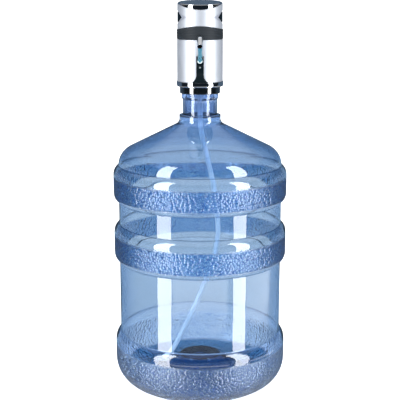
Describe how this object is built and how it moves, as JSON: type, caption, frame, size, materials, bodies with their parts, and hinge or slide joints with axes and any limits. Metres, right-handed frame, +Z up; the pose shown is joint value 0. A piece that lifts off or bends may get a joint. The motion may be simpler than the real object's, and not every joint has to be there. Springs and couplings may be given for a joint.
{
  "type": "bottled water pump",
  "caption": "Electric water pump seated on a ribbed blue water bottle, with a curved spout, a push lever, a slanted top button and an intake tube.",
  "frame": {"origin": "middle of the bottle's foot, on the surface that it stands on", "axes": "+Z up, along the bottle's axis; the spout points along -Y; +X is on the right of someone who faces the spout"},
  "size_m": [0.272, 0.272, 0.6086],
  "materials": {
    "blue_polycarbonate": "clear blue",
    "satin_silver": "satin",
    "chrome": "mirror",
    "gloss_black": "gloss",
    "black_silicone": "matt",
    "smoked_disc": "gloss",
    "teal_plastic": "clear tinted",
    "clear_silicone": "clear",
    "white_silicone": "satin",
    "black_nylon": "matt",
    "bright_steel": "bright",
    "brass": "bright",
    "green_laminate": "satin",
    "cell_wrap": "satin",
    "clear_lens": "clear"
  },
  "bodies": {
    "pump": {"base_ring": "chrome", "battery_cell": "cell_wrap", "battery_holder": "black_nylon", "board_screw_1": "bright_steel", "board_screw_2": "bright_steel", "button_spring": "bright_steel", "charging_port": "bright_steel", "collar_screw_1": "bright_steel", "collar_screw_2": "bright_steel", "collar_screw_3": "bright_steel", "control_board": "green_laminate", "controller_chip": "black_nylon", "cover_anchor": "black_silicone", "deck": "black_nylon", "deck_screw_1": "bright_steel", "deck_screw_2": "bright_steel", "deck_screw_3": "bright_steel", "frame": "black_nylon", "front_board": "green_laminate", "front_spine": "gloss_black", "grip_band": "black_silicone", "inlet_fitting": "white_silicone", "intake_tube": "clear_silicone", "left_button_spring": "bright_steel", "left_switch": "black_nylon", "lever_pin": "bright_steel", "lever_spring": "bright_steel", "lever_switch": "black_nylon", "light_lens": "clear_lens", "lower_contact": "brass", "lower_shell": "satin_silver", "motor_can": "bright_steel", "motor_end_cap": "black_nylon", "neck_collar": "gloss_black", "outlet_elbow": "white_silicone", "port_tongue": "black_nylon", "pump_diaphragm": "white_silicone", "pump_head": "black_nylon", "pump_housing": "black_nylon", "rear_board": "green_laminate", "right_button_spring": "bright_steel", "right_switch": "black_nylon", "spout": "chrome", "spout_nut": "brass", "status_led": "clear_lens", "top_rim": "chrome", "top_switch": "black_nylon", "upper_contact": "brass", "upper_shell": "satin_silver"},
    "left_pad": {"left_side_button": "gloss_black"},
    "rotor": {"motor_rotor": "bright_steel", "pump_cam": "brass"},
    "seat": {"neck_gasket": "white_silicone"},
    "cover": {"port_cover": "black_silicone"},
    "lever": {"push_lever": "teal_plastic"},
    "right_pad": {"right_side_button": "gloss_black"},
    "top_disc": {"top_button": "smoked_disc"},
    "bottle": {"water_bottle": "blue_polycarbonate"}
  },
  "joints": [
    {"name": "pump_lift", "type": "slide", "parent": "bottle", "child": "seat", "axis": [0, 0, 1], "range_m": [0, 0.05]},
    {"name": "pump_turn", "type": "hinge", "parent": "seat", "child": "pump", "pos_m": [0, 0, 0.4886], "axis": [0, 0, 1], "continuous": true},
    {"name": "top_press", "type": "slide", "parent": "pump", "child": "top_disc", "axis": [0, 0.108, -0.9942], "range_m": [0, 0.0012], "stiffness_N_per_m": 1200, "springref_m": -0.001, "deforming": ["button_spring"]},
    {"name": "left_press", "type": "slide", "parent": "pump", "child": "left_pad", "axis": [1, 0, 0], "range_m": [0, 0.0006], "stiffness_N_per_m": 900, "springref_m": -0.001, "deforming": ["left_button_spring"]},
    {"name": "right_press", "type": "slide", "parent": "pump", "child": "right_pad", "axis": [-1, 0, 0], "range_m": [0, 0.0006], "stiffness_N_per_m": 900, "springref_m": -0.001, "deforming": ["right_button_spring"]},
    {"name": "lever_push", "type": "hinge", "parent": "pump", "child": "lever", "pos_m": [0, -0.0395, 0.543], "axis": [1, 0, 0], "range_deg": [0, 5], "stiffness_Nm_per_rad": 0.02, "springref_deg": -11.46, "deforming": ["lever_spring"]},
    {"name": "motor_spin", "type": "hinge", "parent": "pump", "child": "rotor", "pos_m": [-0.0075, 0.004, 0.53], "axis": [0, 0, 1], "continuous": true},
    {"name": "cover_swing", "type": "hinge", "parent": "pump", "child": "cover", "pos_m": [0, 0.0362, 0.5152], "axis": [-1, 0, 0], "range_deg": [0, 95]}
  ]
}
